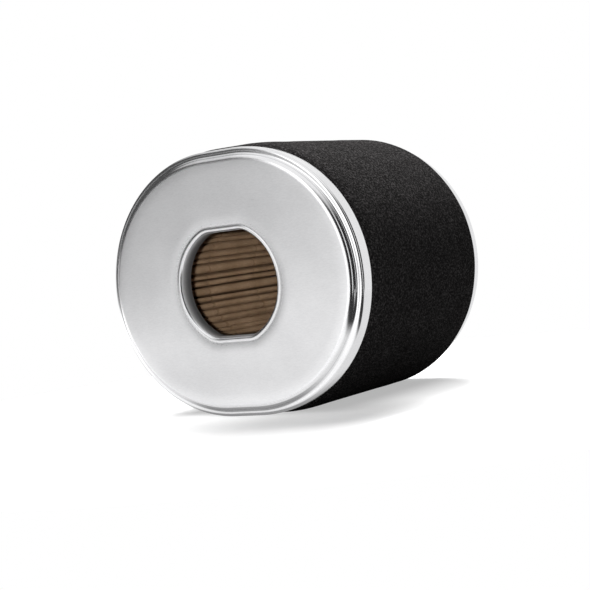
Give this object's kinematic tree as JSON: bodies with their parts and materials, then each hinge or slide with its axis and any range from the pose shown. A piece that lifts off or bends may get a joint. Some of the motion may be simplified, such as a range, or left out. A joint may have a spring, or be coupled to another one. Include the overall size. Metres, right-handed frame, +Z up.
{
  "type": "air filter",
  "caption": "Oval dual-element air filter cartridge: pleated paper between pressed steel end caps, with a double-D opening, a rear stud hole and a slip-on foam sleeve.",
  "frame": {"origin": "centre of the bottom of the bounding box, where the cartridge lies on one of its flats", "axes": "+Y along the air-flow axis from the open front cap to the rear cap with the stud hole; +X across the width of the oval; +Z up"},
  "size_m": [0.1156, 0.1012, 0.1024],
  "materials": {
    "plated_steel": "satin",
    "sealant": "matte",
    "filter_paper": "matte",
    "clip_steel": "satin",
    "foam": "matte"
  },
  "bodies": {
    "element": {"front_cap": "plated_steel", "rear_cap": "plated_steel", "front_sealant": "sealant", "rear_sealant": "sealant", "pleated_paper": "filter_paper", "seam_clip": "clip_steel"},
    "sleeve": {"foam_sleeve": "foam"}
  },
  "joints": [
    {"name": "sleeve_pull_off", "type": "slide", "parent": "element", "child": "sleeve", "axis": [0, 1, 0], "range_m": [0, 0.1], "deforming": ["foam_sleeve"]}
  ]
}
